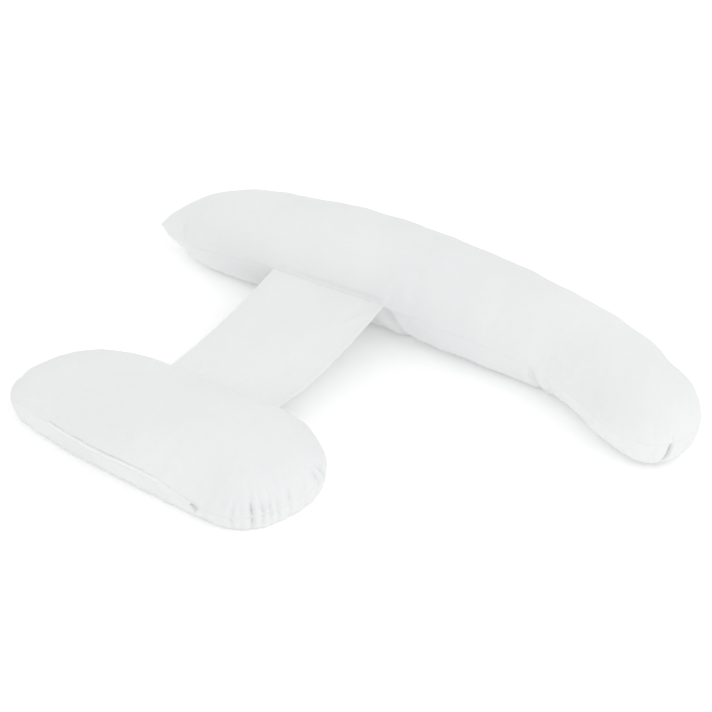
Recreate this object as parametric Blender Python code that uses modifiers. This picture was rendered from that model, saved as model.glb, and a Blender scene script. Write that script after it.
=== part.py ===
# Pregnancy pillow: a long curved bolster and a short cushion, joined by a hemmed belt of the same cloth.
#
# Metres, +Z up, the floor at z = 0. X runs along the long bolster, from its pointed end to its round
# end, and Y from the short cushion to the bolster. The origin is on the floor under the middle of the
# pillow's bounding box.
#
# Each filled piece is two cloth panels sewn round one seam: the panels rise from the seam to a crown,
# and bulge below it to a flat patch where the pillow lies on the floor.

from collections import namedtuple

import bmesh
import bpy
import numpy as np
from mathutils import Matrix, Vector

COLLECTION_NAME = "pregnancy_pillow"
HELPER_COLLECTION = "joined_shapes"
SEWN_GAP = 0.0004           # clear space between one sewn piece and the next
PINCH = 0.10                # how much the seam draws a filled section in above and below it
UPPER_RINGS = 7             # rows of faces from the seam to the crown
LOWER_RINGS = 8             # rows of faces from the seam to the middle of the base
LOWER_CROWDING = 1.2        # over 1 crowds the lower rows towards the seam
FLOOR_TURN = 0.014          # the cloth turns up from the floor over this height

# The long bolster. half: half of its width. seam, crown: heights of the seam and of the top.
# base: how low the lower panel would bulge if no floor flattened it.
Section = namedtuple("Section", "name x y half seam crown base")
BOLSTER_SECTIONS = (
    Section("point", -0.678, 0.266, 0.000, 0.047, 0.049, 0.045),
    Section("nose", -0.654, 0.276, 0.033, 0.050, 0.077, 0.036),
    Section("nose root", -0.585, 0.296, 0.076, 0.066, 0.136, -0.008),
    Section("left arm", -0.480, 0.300, 0.103, 0.089, 0.182, -0.014),
    Section("belt, left", -0.359, 0.310, 0.113, 0.106, 0.201, -0.018),
    Section("belt, middle", -0.229, 0.324, 0.120, 0.104, 0.213, -0.019),
    Section("belt, right", -0.080, 0.332, 0.121, 0.105, 0.215, -0.019),
    Section("middle", 0.060, 0.331, 0.119, 0.103, 0.211, -0.019),
    Section("right arm", 0.199, 0.329, 0.114, 0.098, 0.202, -0.018),
    Section("bend", 0.324, 0.321, 0.107, 0.092, 0.190, -0.017),
    Section("after the bend", 0.428, 0.287, 0.107, 0.092, 0.190, -0.017),
    Section("round end root", 0.529, 0.238, 0.103, 0.089, 0.184, -0.017),
    Section("round end", 0.645, 0.187, 0.095, 0.083, 0.171, -0.019),
)
BOLSTER_STATIONS = 52       # cross-sections between the point and the round end's root
NOSE_STATIONS = 5           # the first step between them is cut into this many, to close the pointed end
NOSE_CROWDING = 1.5         # over 1 crowds those towards the point
ROUND_LENGTH = 0.110        # the round end closes over this length
ROUND_STATIONS = 8
ROUND_POWER = 2.3           # 2 closes in an ellipse, more is blunter
BOLSTER_SLACK = 1.0

# The short cushion's seam, anticlockwise from the left end of the zip, with the seam's height.
# side: the side of the cushion that a row starts or carries on. steps: how many faces lie between a
# row and the next one. The near and the far side have as many in all, so that they meet at the crown.
RimPoint = namedtuple("RimPoint", "name side x y seam steps")
CUSHION_SEAM = (
    RimPoint("zip, left end", "near", -0.430, -0.425, 0.063, 6),
    RimPoint("zip, left middle", "near", -0.304, -0.441, 0.063, 7),
    RimPoint("zip, right middle", "near", -0.163, -0.444, 0.061, 5),
    RimPoint("zip, right end", "near", -0.052, -0.446, 0.043, 4),
    RimPoint("near corner, start", "right", 0.014, -0.437, 0.038, 8),
    RimPoint("near corner", "right", 0.064, -0.401, 0.039, 8),
    RimPoint("right end, near", "right", 0.091, -0.346, 0.040, 8),
    RimPoint("right end, middle", "right", 0.105, -0.284, 0.042, 8),
    RimPoint("right end, far", "right", 0.100, -0.230, 0.048, 4),
    RimPoint("far corner", "right", 0.059, -0.184, 0.054, 4),
    RimPoint("far corner, end", "far", 0.000, -0.152, 0.056, 6),
    RimPoint("belt, right", "far", -0.120, -0.146, 0.056, 6),
    RimPoint("belt, middle", "far", -0.230, -0.146, 0.056, 6),
    RimPoint("belt, left", "far", -0.370, -0.150, 0.056, 4),
    RimPoint("far left, start", "left", -0.460, -0.170, 0.056, 4),
    RimPoint("far left corner", "left", -0.519, -0.220, 0.056, 4),
    RimPoint("left end, far", "left", -0.553, -0.280, 0.057, 3),
    RimPoint("left end", "left", -0.569, -0.335, 0.058, 3),
    RimPoint("near left corner", "left", -0.552, -0.394, 0.060, 3),
    RimPoint("near left, end", "left", -0.497, -0.415, 0.062, 3),
)
# The line under the cushion's crown, and the crown's height at its ends and middle.
CrownPoint = namedtuple("CrownPoint", "name x y crown")
CUSHION_CROWN = (
    CrownPoint("left", -0.450, -0.289, 0.112),
    CrownPoint("middle", -0.250, -0.292, 0.130),
    CrownPoint("right", -0.040, -0.302, 0.136),
)
CUSHION_BASE = -0.050
CUSHION_SLACK = 0.5         # under 1, the lower panel bulges out under the seam

# The belt, from the bolster's seam to the cushion's. share: the share of the way between the seams.
# left, right: where its hemmed edges run. sag: how far it hangs under a straight line.
BeltRow = namedtuple("BeltRow", "name share left right sag")
BELT_ROWS = (
    BeltRow("bolster seam", 0.00, -0.325, -0.057, 0.000),
    BeltRow("under the bolster", 0.15, -0.328, -0.060, 0.006),
    BeltRow("upper middle", 0.40, -0.334, -0.065, 0.013),
    BeltRow("lower middle", 0.70, -0.340, -0.071, 0.011),
    BeltRow("cushion seam", 1.00, -0.345, -0.086, 0.000),
)
BELT_THICKNESS = 0.0020
HEM_WIDTH = 0.012
HEM_THICKNESS = 0.0028
BELT_STEPS_LONG = 16
BELT_STEPS_WIDE = 12

# The zip in the short cushion's near seam.
ZIP_WIDTH = 0.0056
ZIP_THICKNESS = 0.0018
ZIP_LAST_ROW = 3            # it runs from the first row of CUSHION_SEAM to this one
SLIDER_LENGTH = 0.0105
SLIDER_HEIGHT = 0.0085
SLIDER_DEPTH = 0.0040
SLIDER_BEVEL = 0.0010
PULL_LENGTH = 0.0180
PULL_WIDTH = 0.0060
PULL_THICKNESS = 0.0016
PULL_BEVEL = 0.0005
PULL_LEAN = 40.0            # degrees down from the seam's line
PULL_ALONG = 0.35           # where the pull's middle lies from the slider's, as shares of the pull's length
PULL_DOWN = 0.30

# Creases and puckers that show from a step away: where each is, the way it runs, its half width and
# half length along the cloth, and how deep it is.
Fold = namedtuple("Fold", "name place along half_width half_length depth")
BOLSTER_FOLDS = (
    Fold("dart in the round end", (0.615, 0.165, 0.045), (0.0, 0.1, 1.0), 0.012, 0.045, 0.008),
    Fold("dimple beside the dart", (0.560, 0.150, 0.070), (0.9, -0.4, 0.2), 0.025, 0.035, 0.005),
    Fold("pinch inside the bend", (0.285, 0.225, 0.050), (0.1, 0.2, 1.0), 0.022, 0.060, 0.009),
    Fold("crease by the point", (-0.640, 0.240, 0.060), (0.1, 0.0, 1.0), 0.012, 0.035, 0.005),
    Fold("pull right of the belt", (-0.030, 0.210, 0.110), (0.3, 0.2, 1.0), 0.014, 0.050, 0.004),
)
CUSHION_FOLDS = (
    Fold("end pucker 1", (0.022, -0.434, 0.038), (-0.3, 0.7, 0.6), 0.008, 0.040, 0.004),
    Fold("end pucker 2", (0.052, -0.414, 0.038), (-0.6, 0.6, 0.6), 0.008, 0.045, 0.006),
    Fold("end pucker 3", (0.075, -0.384, 0.039), (-0.7, 0.4, 0.6), 0.008, 0.045, 0.005),
    Fold("end pucker 4", (0.091, -0.346, 0.040), (-0.8, 0.2, 0.6), 0.008, 0.045, 0.005),
    Fold("end pucker 5", (0.102, -0.305, 0.041), (-0.8, 0.0, 0.6), 0.008, 0.045, 0.004),
    Fold("end pucker 6", (0.104, -0.260, 0.044), (-0.8, -0.1, 0.6), 0.008, 0.040, 0.004),
)

CLOTH_COLOUR = (0.86, 0.87, 0.87)
CLOTH_ROUGHNESS = 0.9
ZIP_COLOUR = (0.92, 0.92, 0.92)
ZIP_ROUGHNESS = 0.5
SLIDER_COLOUR = (0.55, 0.55, 0.55)
SLIDER_ROUGHNESS = 0.4
SLIDER_METALLIC = 0.6


def smooth_curve(rows, shares):
    """Values read at the given shares of a smooth curve (Catmull-Rom) through the rows, 0 to 1 by length."""
    rows = np.asarray(rows, float)
    steps = np.linalg.norm(np.diff(rows[:, :2], axis=0), axis=1)
    knots = np.concatenate([[0.0], np.cumsum(steps)])
    slopes = np.empty_like(rows)
    slopes[1:-1] = (rows[2:] - rows[:-2]) / (knots[2:] - knots[:-2])[:, None]
    slopes[0] = (rows[1] - rows[0]) / steps[0]
    slopes[-1] = (rows[-1] - rows[-2]) / steps[-1]
    at = np.asarray(shares, float) * knots[-1]
    i = np.clip(np.searchsorted(knots, at, side="right") - 1, 0, len(rows) - 2)
    h = (knots[i + 1] - knots[i])[:, None]
    t = ((at - knots[i]) / (knots[i + 1] - knots[i]))[:, None]
    return (
        (2 * t**3 - 3 * t**2 + 1) * rows[i]
        + (t**3 - 2 * t**2 + t) * h * slopes[i]
        + (-2 * t**3 + 3 * t**2) * rows[i + 1]
        + (t**3 - t**2) * h * slopes[i + 1]
    )


def closed_curve(rows, steps):
    """A smooth closed curve through the rows, cut into the given number of steps after each row."""
    looped = np.concatenate([rows[-2:], rows, rows[:3]])
    lengths = np.linalg.norm(np.diff(looped[:, :2], axis=0), axis=1)
    knots = np.concatenate([[0.0], np.cumsum(lengths)])
    at = np.concatenate([
        np.linspace(knots[row + 2], knots[row + 3], count, endpoint=False) for row, count in enumerate(steps)
    ])
    return smooth_curve(looped, at / knots[-1])


def sewn_panels(name, outline, slack, folds):
    """A closed mesh of two panels: a column of points runs from each seam point to the crown and the base."""
    rim, spine, crown, base = (outline[key] for key in ("rim", "spine", "crown", "base"))
    seam = rim[:, 2][:, None]
    reach = (rim[:, :2] - spine)[:, None, :]
    lift = np.linspace(0.0, 1.0, UPPER_RINGS + 1) * np.pi / 2
    drawn_in = np.cos(lift) / (1.0 + PINCH * np.sin(lift))
    plan = spine[:, None, :] + reach * drawn_in[None, :, None]
    upper = np.dstack([plan, seam + (crown[:, None] - seam) * np.sin(lift)])
    drop = np.linspace(0.0, 1.0, LOWER_RINGS + 1)[1:] ** LOWER_CROWDING * np.pi / 2
    drawn_in = (np.cos(drop) / (1.0 + PINCH * np.sin(drop))) ** slack
    plan = spine[:, None, :] + reach * drawn_in[None, :, None]
    lower = np.dstack([plan, seam - (seam - base[:, None]) * np.sin(drop)])
    points = np.concatenate([lower[:, ::-1], upper], axis=1)
    heart = np.column_stack([spine, rim[:, 2]])[:, None, :]
    points = pressed_in(points, heart, folds)
    points[..., 2] = laid_on_floor(points[..., 2])
    return grid_mesh(name, points, closed_columns=True)


def laid_on_floor(height):
    """Heights with what would lie under the floor flat on it, and a soft turn up from it."""
    turning = FLOOR_TURN * ((height + FLOOR_TURN) / (2 * FLOOR_TURN)) ** 2
    return np.where(height > FLOOR_TURN, height, np.where(height < -FLOOR_TURN, 0.0, turning))


def pressed_in(points, heart, folds):
    """The points moved towards the heart of the filling, most along the middle of each fold."""
    inward = heart - points
    inward /= np.maximum(np.linalg.norm(inward, axis=2, keepdims=True), 1e-9)
    moved = points.copy()
    for fold in folds:
        along = np.array(fold.along) / np.linalg.norm(fold.along)
        offset = points - np.array(fold.place)
        length = offset @ along
        width = np.linalg.norm(offset - length[..., None] * along, axis=2)
        fade = np.exp(-((length / fold.half_length) ** 2) - (width / fold.half_width) ** 2)
        moved += inward * (fold.depth * fade)[..., None]
    return moved


def grid_mesh(name, points, closed_columns=False):
    """A mesh of the faces between neighbouring columns and rows of a grid of points."""
    columns, rows = points.shape[:2]
    index = np.arange(columns * rows).reshape(columns, rows)
    after = np.roll(index, -1, axis=0) if closed_columns else index[1:]
    first = index if closed_columns else index[:-1]
    quads = np.stack([first[:, :-1], after[:, :-1], after[:, 1:], first[:, 1:]], axis=-1).reshape(-1, 4)
    mesh = bpy.data.meshes.new(name)
    mesh.from_pydata(points.reshape(-1, 3).tolist(), [], quads.tolist())
    work = bmesh.new()
    work.from_mesh(mesh)
    bmesh.ops.remove_doubles(work, verts=work.verts, dist=1e-5)
    bmesh.ops.recalc_face_normals(work, faces=work.faces)
    work.to_mesh(mesh)
    work.free()
    mesh.shade_smooth()
    return mesh


def bolster_shares():
    """Where the bolster's cross-sections lie: close together at both ends, even between them."""
    plan = np.array([(row.x, row.y) for row in BOLSTER_SECTIONS])
    length = np.linalg.norm(np.diff(plan, axis=0), axis=1).sum()
    root = 1.0 - ROUND_LENGTH / length
    even = np.linspace(0.0, root, BOLSTER_STATIONS)
    nose = even[1] * (np.arange(1, NOSE_STATIONS) / NOSE_STATIONS) ** NOSE_CROWDING
    turn = np.sin(np.linspace(0.0, np.pi / 2, ROUND_STATIONS + 1))[1:]
    shares = np.sort(np.concatenate([even, nose, root + (1.0 - root) * turn]))
    closing = np.clip((shares - root) / (1.0 - root), 0.0, 1.0)
    return shares, (1.0 - closing**ROUND_POWER) ** (1.0 / ROUND_POWER)


def bolster_outline():
    """The bolster's seam loop, and the spine point, crown and base across from each of its points."""
    shares, width_left = bolster_shares()
    rows = [(s.x, s.y, s.half, s.seam, s.crown, s.base) for s in BOLSTER_SECTIONS]
    x, y, half, seam, crown, base = smooth_curve(rows, shares).T
    half = np.maximum(half, 0.0) * width_left
    crown = seam + (crown - seam) * width_left
    base = seam + (base - seam) * width_left
    spine = np.stack([x, y], axis=1)
    forward = np.gradient(spine, axis=0)
    forward /= np.linalg.norm(forward, axis=1)[:, None]
    across = np.stack([forward[:, 1], -forward[:, 0]], axis=1)
    near = np.column_stack([spine + across * half[:, None], seam])
    far = np.column_stack([spine - across * half[:, None], seam])
    back = slice(-2, 0, -1)
    return {
        "rim": np.concatenate([near, far[back]]),
        "spine": np.concatenate([spine, spine[back]]),
        "crown": np.concatenate([crown, crown[back]]),
        "base": np.concatenate([base, base[back]]),
        "near": near,
    }


def cushion_outline():
    """The short cushion's seam loop, and the spine point, crown and base across from each of its points."""
    rows = np.array([(p.x, p.y, p.seam) for p in CUSHION_SEAM])
    rim = closed_curve(rows, [p.steps for p in CUSHION_SEAM])
    near, right, far, left = (
        sum(p.steps for p in CUSHION_SEAM if p.side == side) for side in ("near", "right", "far", "left")
    )
    share = np.concatenate([
        np.arange(near) / near, np.ones(right), 1.0 - np.arange(far) / far, np.zeros(left)
    ])
    x, y, crown = smooth_curve([(p.x, p.y, p.crown) for p in CUSHION_CROWN], share).T
    spine = np.column_stack([x, y])
    return {"rim": rim, "spine": spine, "crown": crown, "base": np.full(len(rim), CUSHION_BASE)}


def rim_at(rim, x):
    """The points of a seam line that runs towards +X, at the given x."""
    return np.column_stack([x, np.interp(x, rim[:, 0], rim[:, 1]), np.interp(x, rim[:, 0], rim[:, 2])])


def belt_columns():
    """Shares across the belt, with a row of points on each side of both hems' stitched edges."""
    width = BELT_ROWS[0].right - BELT_ROWS[0].left
    hem = HEM_WIDTH / width
    step = HEM_THICKNESS / width
    middle = np.linspace(hem + step, 1.0 - hem - step, BELT_STEPS_WIDE - 3)
    return np.concatenate([[0.0, hem], middle, [1.0 - hem, 1.0]])


def belt_mesh(name, bolster, cushion):
    """The belt's middle surface: a sheet that hangs between the two seams."""
    across = belt_columns()
    along = np.linspace(0.0, 1.0, BELT_STEPS_LONG + 1)
    share, left, right, sag = np.array([(r.share, r.left, r.right, r.sag) for r in BELT_ROWS]).T
    line = smooth_curve(np.column_stack([share, np.zeros_like(share), left, right, sag]), along)
    x = line[:, 2][:, None] * (1.0 - across) + line[:, 3][:, None] * across
    far = cushion["rim"][cushion["rim"][:, 1] > cushion["spine"][:, 1]]
    far = far[np.argsort(far[:, 0])]
    start = rim_at(bolster["near"], x[0])
    end = rim_at(far, x[-1])
    start[:, 1] -= SEWN_GAP
    end[:, 1] += SEWN_GAP
    y = start[:, 1] + (end[:, 1] - start[:, 1]) * along[:, None]
    z = start[:, 2] + (end[:, 2] - start[:, 2]) * along[:, None] - line[:, 4][:, None]
    return grid_mesh(name, np.dstack([x, y, z]))


def new_object(name, mesh, material):
    obj = bpy.data.objects.new(name, mesh)
    obj.data.materials.append(material)
    bpy.data.collections[COLLECTION_NAME].objects.link(obj)
    return obj


def material_of(name, colour, roughness, metallic=0.0):
    material = bpy.data.materials.new(name)
    material.use_nodes = True
    shader = material.node_tree.nodes["Principled BSDF"]
    shader.inputs["Base Color"].default_value = (*colour, 1.0)
    shader.inputs["Roughness"].default_value = roughness
    shader.inputs["Metallic"].default_value = metallic
    return material


def solidify(obj, thickness, hems=None, thin_share=1.0):
    modifier = obj.modifiers.new("Thickness", "SOLIDIFY")
    modifier.thickness = thickness
    modifier.offset = 0.0
    if hems is not None:
        modifier.vertex_group = hems
        modifier.thickness_vertex_group = thin_share


def make_bolster():
    outline = bolster_outline()
    mesh = sewn_panels("bolster", outline, BOLSTER_SLACK, BOLSTER_FOLDS)
    new_object("bolster", mesh, material_of("bolster cotton", CLOTH_COLOUR, CLOTH_ROUGHNESS))
    return outline


def make_cushion():
    outline = cushion_outline()
    mesh = sewn_panels("short_cushion", outline, CUSHION_SLACK, CUSHION_FOLDS)
    new_object("short_cushion", mesh, material_of("cushion cotton", CLOTH_COLOUR, CLOTH_ROUGHNESS))
    return outline


def make_belt(bolster, cushion):
    material = material_of("belt cotton", CLOTH_COLOUR, CLOTH_ROUGHNESS)
    obj = new_object("belt", belt_mesh("belt", bolster, cushion), material)
    hems = obj.vertex_groups.new(name="hems")
    columns = len(belt_columns())
    for vertex in obj.data.vertices:
        column = vertex.index % columns
        if column in (0, 1, columns - 2, columns - 1):
            hems.add([vertex.index], 1.0, "REPLACE")
    solidify(obj, HEM_THICKNESS, "hems", BELT_THICKNESS / HEM_THICKNESS)


def make_zip(cushion):
    """The zip: a narrow upright ribbon along the near seam, just outside it."""
    steps = [point.steps for point in CUSHION_SEAM]
    path = cushion["rim"][: sum(steps[:ZIP_LAST_ROW]) + 1]
    forward = np.gradient(path[:, :2], axis=0)
    forward /= np.linalg.norm(forward, axis=1)[:, None]
    outward = np.column_stack([forward[:, 1], -forward[:, 0], np.zeros(len(path))])
    middle = path + outward * (SEWN_GAP + ZIP_THICKNESS / 2)
    rise = np.array([-0.5, 0.0, 0.5])[None, :, None] * np.array([0.0, 0.0, ZIP_WIDTH])
    mesh = grid_mesh("zip", middle[:, None, :] + rise)
    obj = new_object("zip", mesh, material_of("zip coil", ZIP_COLOUR, ZIP_ROUGHNESS))
    solidify(obj, ZIP_THICKNESS)
    return middle[-1], outward[-1], forward[-1]


def rounded_box(name, size, place, turn, bevel):
    """A box with rounded edges, its size along the turned axes, as a mesh object without modifiers."""
    work = bmesh.new()
    bmesh.ops.create_cube(work, size=1.0)
    bmesh.ops.scale(work, vec=size, verts=work.verts)
    bmesh.ops.bevel(work, geom=work.edges[:], offset=bevel, segments=2, profile=0.5, affect="EDGES")
    bmesh.ops.transform(work, matrix=Matrix.Translation(place) @ turn.to_4x4(), verts=work.verts)
    mesh = bpy.data.meshes.new(name)
    work.to_mesh(mesh)
    work.free()
    return mesh


def make_slider(end, outward, forward):
    """The slider over the zip's right end, with its flat pull hanging from it along the seam."""
    along = Vector((forward[0], forward[1], 0.0))
    out = Vector(outward)
    turn = Matrix((along, out, Vector((0.0, 0.0, 1.0)))).transposed()
    face = ZIP_THICKNESS / 2 + SEWN_GAP
    place = Vector(end) + out * (face + SLIDER_DEPTH / 2) - along * SLIDER_LENGTH / 2
    body = rounded_box("zip_slider", (SLIDER_LENGTH, SLIDER_DEPTH, SLIDER_HEIGHT), place, turn, SLIDER_BEVEL)
    material = material_of("slider enamel", SLIDER_COLOUR, SLIDER_ROUGHNESS, SLIDER_METALLIC)
    obj = new_object("zip_slider", body, material)
    hang = along * PULL_ALONG - Vector((0.0, 0.0, PULL_DOWN))
    middle = place + out * (SLIDER_DEPTH / 2) + hang * PULL_LENGTH
    lean = turn @ Matrix.Rotation(np.radians(PULL_LEAN), 3, "Y")
    pull = rounded_box("pull", (PULL_LENGTH, PULL_THICKNESS, PULL_WIDTH), middle, lean, PULL_BEVEL)
    helper = bpy.data.objects.new("pull", pull)
    helper.hide_render = True
    helper.display_type = "WIRE"
    bpy.data.collections[HELPER_COLLECTION].objects.link(helper)
    joined = obj.modifiers.new("Pull", "BOOLEAN")
    joined.operation = "UNION"
    joined.object = helper


def centre_on_origin():
    """Moves every mesh so that the bounding box's middle is over the origin."""
    corners = np.concatenate([[vertex.co[:2] for vertex in obj.data.vertices] for obj in bpy.data.objects])
    middle = (corners.min(axis=0) + corners.max(axis=0)) / 2
    shift = Matrix.Translation((-middle[0], -middle[1], 0.0))
    for obj in bpy.data.objects:
        obj.data.transform(shift)


def main():
    for obj in list(bpy.data.objects):
        bpy.data.objects.remove(obj, do_unlink=True)
    for name in (COLLECTION_NAME, HELPER_COLLECTION):
        bpy.context.scene.collection.children.link(bpy.data.collections.new(name))
    bpy.data.collections[HELPER_COLLECTION].hide_render = True
    bolster = make_bolster()
    cushion = make_cushion()
    make_belt(bolster, cushion)
    make_slider(*make_zip(cushion))
    centre_on_origin()


main()
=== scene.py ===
import math

import bpy
import numpy as np
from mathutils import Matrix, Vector


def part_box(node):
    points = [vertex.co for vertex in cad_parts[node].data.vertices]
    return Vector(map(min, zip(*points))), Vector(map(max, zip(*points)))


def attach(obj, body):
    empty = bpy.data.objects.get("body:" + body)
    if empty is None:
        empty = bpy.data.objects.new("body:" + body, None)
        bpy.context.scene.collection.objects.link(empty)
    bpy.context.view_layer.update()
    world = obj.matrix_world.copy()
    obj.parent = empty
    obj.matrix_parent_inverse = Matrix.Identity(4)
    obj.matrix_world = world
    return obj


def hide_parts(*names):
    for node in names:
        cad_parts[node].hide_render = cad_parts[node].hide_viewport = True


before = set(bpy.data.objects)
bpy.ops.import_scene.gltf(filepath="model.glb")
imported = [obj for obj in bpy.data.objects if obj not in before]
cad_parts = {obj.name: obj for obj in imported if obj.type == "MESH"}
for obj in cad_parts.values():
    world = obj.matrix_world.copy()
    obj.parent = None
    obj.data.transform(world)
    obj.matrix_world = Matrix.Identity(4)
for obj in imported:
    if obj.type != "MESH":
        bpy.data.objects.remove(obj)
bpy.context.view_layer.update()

halfTurn = math.pi
random = np.random.default_rng(7)
print("stage: frame loaded")


# Camera, floor and light

view = {
    "azimuth": 33.3,                   # degrees round from looking along +Y
    "elevation": 37.3,                 # degrees above the floor
    "distance": 4.4,
    "aim": (-0.0684, 0.1452, 0.0),     # the point of the floor that the lens looks at
    "lens": 106.8,                     # mm, on a sensor 36 mm wide
    "shiftUp": 0.0056,                 # the photo's frame stands 4 of its 712 pixels above that point
}

studio = {
    "sky": 0.90,                       # even light from all round
    "keyPower": 30.0,                  # a wide soft lamp high at the camera's right
    "keySize": 4.0,
    "keyPlace": (3.0, -0.6, 3.8),
    "floorColour": "#FCFCFC",
    "floorSize": 40.0,
    "floorDrop": 0.0004,               # how far it lies below the pillow's base
    "floorGlow": 0.14,                 # the paper is lit from behind, which thins the shadows on it
}


def linear(hexColour):
    # an sRGB channel c is c / 12.92 up to 0.04045, and ((c + 0.055) / 1.055) ** 2.4 above it
    channels = np.array([int(hexColour[at:at + 2], 16) / 255 for at in (1, 3, 5)])
    bright = ((channels + 0.055) / 1.055) ** 2.4
    return (*np.where(channels <= 0.04045, channels / 12.92, bright), 1.0)


def feed(tree, node, inputs):
    # each input is given as a value, or as another node's output to link
    for name, value in inputs.items():
        if isinstance(value, bpy.types.NodeSocket):
            tree.links.new(value, node.inputs[name])
        else:
            node.inputs[name].default_value = value


def addNode(tree, kind, inputs=None, **settings):
    # a node with its settings and links
    node = tree.nodes.new(kind)
    for name, value in settings.items():
        setattr(node, name, value)
    feed(tree, node, inputs or {})
    return node


def newMaterial(name):
    # a material with its node tree and its shader
    material = bpy.data.materials.new(name)
    material.use_nodes = True
    tree = material.node_tree
    return material, tree, tree.nodes["Principled BSDF"]


def noise(tree, vector, size, detail, **settings):
    # cloudy noise, its patches about as wide as the size in metres
    inputs = {"Vector": vector, "Scale": 1 / size, "Detail": detail, **settings}
    return addNode(tree, "ShaderNodeTexNoise", inputs).outputs["Fac"]


def blended(tree, share, one, other):
    # one colour where the share is 0, the other where it is 1
    return addNode(tree, "ShaderNodeMix", {0: share, 6: one, 7: other}, data_type="RGBA").outputs[2]


def relief(tree, height, strength, depth, **under):
    # the normal of a surface raised by the height, over an earlier relief's if one is given
    inputs = {"Height": height, "Strength": strength, "Distance": depth, **under}
    return addNode(tree, "ShaderNodeBump", inputs).outputs["Normal"]


def backward(azimuth, elevation):
    # the unit vector from what a camera looks at to the camera
    a, e = math.radians(azimuth), math.radians(elevation)
    return Vector((math.sin(a) * math.cos(e), -math.cos(a) * math.cos(e), math.sin(e)))


def setCamera(view):
    # a long lens at the distance from the aim, turned to it
    camera = bpy.data.objects.new("camera", bpy.data.cameras.new("camera"))
    bpy.context.scene.collection.objects.link(camera)
    back = backward(view["azimuth"], view["elevation"])
    camera.location = Vector(view["aim"]) + back * view["distance"]
    camera.rotation_mode = "QUATERNION"
    camera.rotation_quaternion = (-back).to_track_quat("-Z", "Y")
    camera.data.sensor_width = 36.0
    camera.data.lens = view["lens"]
    camera.data.shift_y = view["shiftUp"]
    camera.data.clip_end = 100.0
    bpy.context.scene.camera = camera


def studioPaper(settings):
    # matt photo paper: it gives no gloss, only a clean pale ground with soft shadows
    material, tree, shader = newMaterial("studioPaper")
    place = addNode(tree, "ShaderNodeTexCoord").outputs["Object"]
    tooth = noise(tree, place, 0.0025, 2.0)
    colour = linear(settings["floorColour"])
    feed(tree, shader, {"Normal": relief(tree, tooth, 0.05, 0.0002), "Base Color": colour,
                        "Roughness": 0.95, "Specular IOR Level": 0.1, "Emission Color": colour,
                        "Emission Strength": settings["floorGlow"]})
    return material


def setStudio(settings):
    # a wide pale floor, an even sky and one soft lamp aimed at the middle of the frame
    half, drop = settings["floorSize"] / 2, settings["floorDrop"]
    mesh = bpy.data.meshes.new("floor")
    mesh.from_pydata([(x, y, -drop) for x, y in ((-half, -half), (half, -half), (half, half), (-half, half))],
                     [], [(0, 1, 2, 3)])
    floor = bpy.data.objects.new("floor", mesh)
    floor.data.materials.append(studioPaper(settings))
    bpy.context.scene.collection.objects.link(floor)
    world = bpy.data.worlds.new("studio")
    world.use_nodes = True
    feed(world.node_tree, world.node_tree.nodes["Background"],
         {"Color": (1.0, 1.0, 1.0, 1.0), "Strength": settings["sky"]})
    bpy.context.scene.world = world
    key = bpy.data.objects.new("key", bpy.data.lights.new("key", "AREA"))
    key.data.shape = "DISK"
    key.data.size = settings["keySize"]
    key.data.energy = settings["keyPower"]
    key.location = settings["keyPlace"]
    key.rotation_mode = "QUATERNION"
    key.rotation_quaternion = (-Vector(settings["keyPlace"])).to_track_quat("-Z", "Y")
    bpy.context.scene.collection.objects.link(key)
    bpy.context.scene.view_settings.view_transform = "Standard"
    bpy.context.scene.view_settings.look = "None"


setCamera(view)
setStudio(studio)
print("stage: camera, floor and light set")


# Shapes: every surface is a grid of points, columns by rows, and is made a mesh in one go

def runAlong(points):
    # the length from the first point of each line of points to each of its points
    steps = np.linalg.norm(np.diff(points, axis=-2), axis=-1)
    return np.concatenate([np.zeros((*steps.shape[:-1], 1)), np.cumsum(steps, axis=-1)], axis=-1)


def smoothCurve(rows, shares):
    # values read at shares of the length, 0 to 1, of the cubic that passes through the rows with
    # the slope at each row that joins its two neighbours
    rows = np.asarray(rows, float)
    knots = runAlong(rows[:, :2])
    steps = np.diff(knots)
    slopes = np.empty_like(rows)
    slopes[1:-1] = (rows[2:] - rows[:-2]) / (knots[2:] - knots[:-2])[:, None]
    slopes[0] = (rows[1] - rows[0]) / steps[0]
    slopes[-1] = (rows[-1] - rows[-2]) / steps[-1]
    at = np.asarray(shares, float) * knots[-1]
    i = np.clip(np.searchsorted(knots, at, side="right") - 1, 0, len(rows) - 2)
    h = (knots[i + 1] - knots[i])[:, None]
    t = ((at - knots[i]) / (knots[i + 1] - knots[i]))[:, None]
    return ((2 * t**3 - 3 * t**2 + 1) * rows[i] + (t**3 - 2 * t**2 + t) * h * slopes[i]
            + (-2 * t**3 + 3 * t**2) * rows[i + 1] + (t**3 - t**2) * h * slopes[i + 1])


def resampled(field, at, axis, closed):
    # a field read between its samples along one axis, by the cubic through the four nearest ones
    count = field.shape[axis]
    whole = np.floor(at).astype(int)
    t = at - whole
    weights = (((1 - 0.5 * t) * t - 0.5) * t, (1.5 * t - 2.5) * t * t + 1,
               ((2 - 1.5 * t) * t + 0.5) * t, (0.5 * t - 0.5) * t * t)
    spread = [1] * field.ndim
    spread[axis] = -1
    total = 0.0
    for step, weight in zip((-1, 0, 1, 2), weights):
        near = (whole + step) % count if closed else np.clip(whole + step, 0, count - 1)
        total = total + np.take(field, near, axis) * weight.reshape(spread)
    return total


def unit(vectors):
    # each vector divided by its length
    return vectors / np.maximum(np.linalg.norm(vectors, axis=-1, keepdims=True), 1e-12)


def smoothStep(value, start, end):
    # 0 at start, 1 at end, and 3t² - 2t³ between them
    t = np.clip((value - start) / (end - start), 0.0, 1.0)
    return t * t * (3 - 2 * t)


def between(value, rise, fall):
    # 0 to 1 over the rise, and back to 0 over the fall
    return smoothStep(value, *rise) * (1 - smoothStep(value, *fall))


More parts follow.
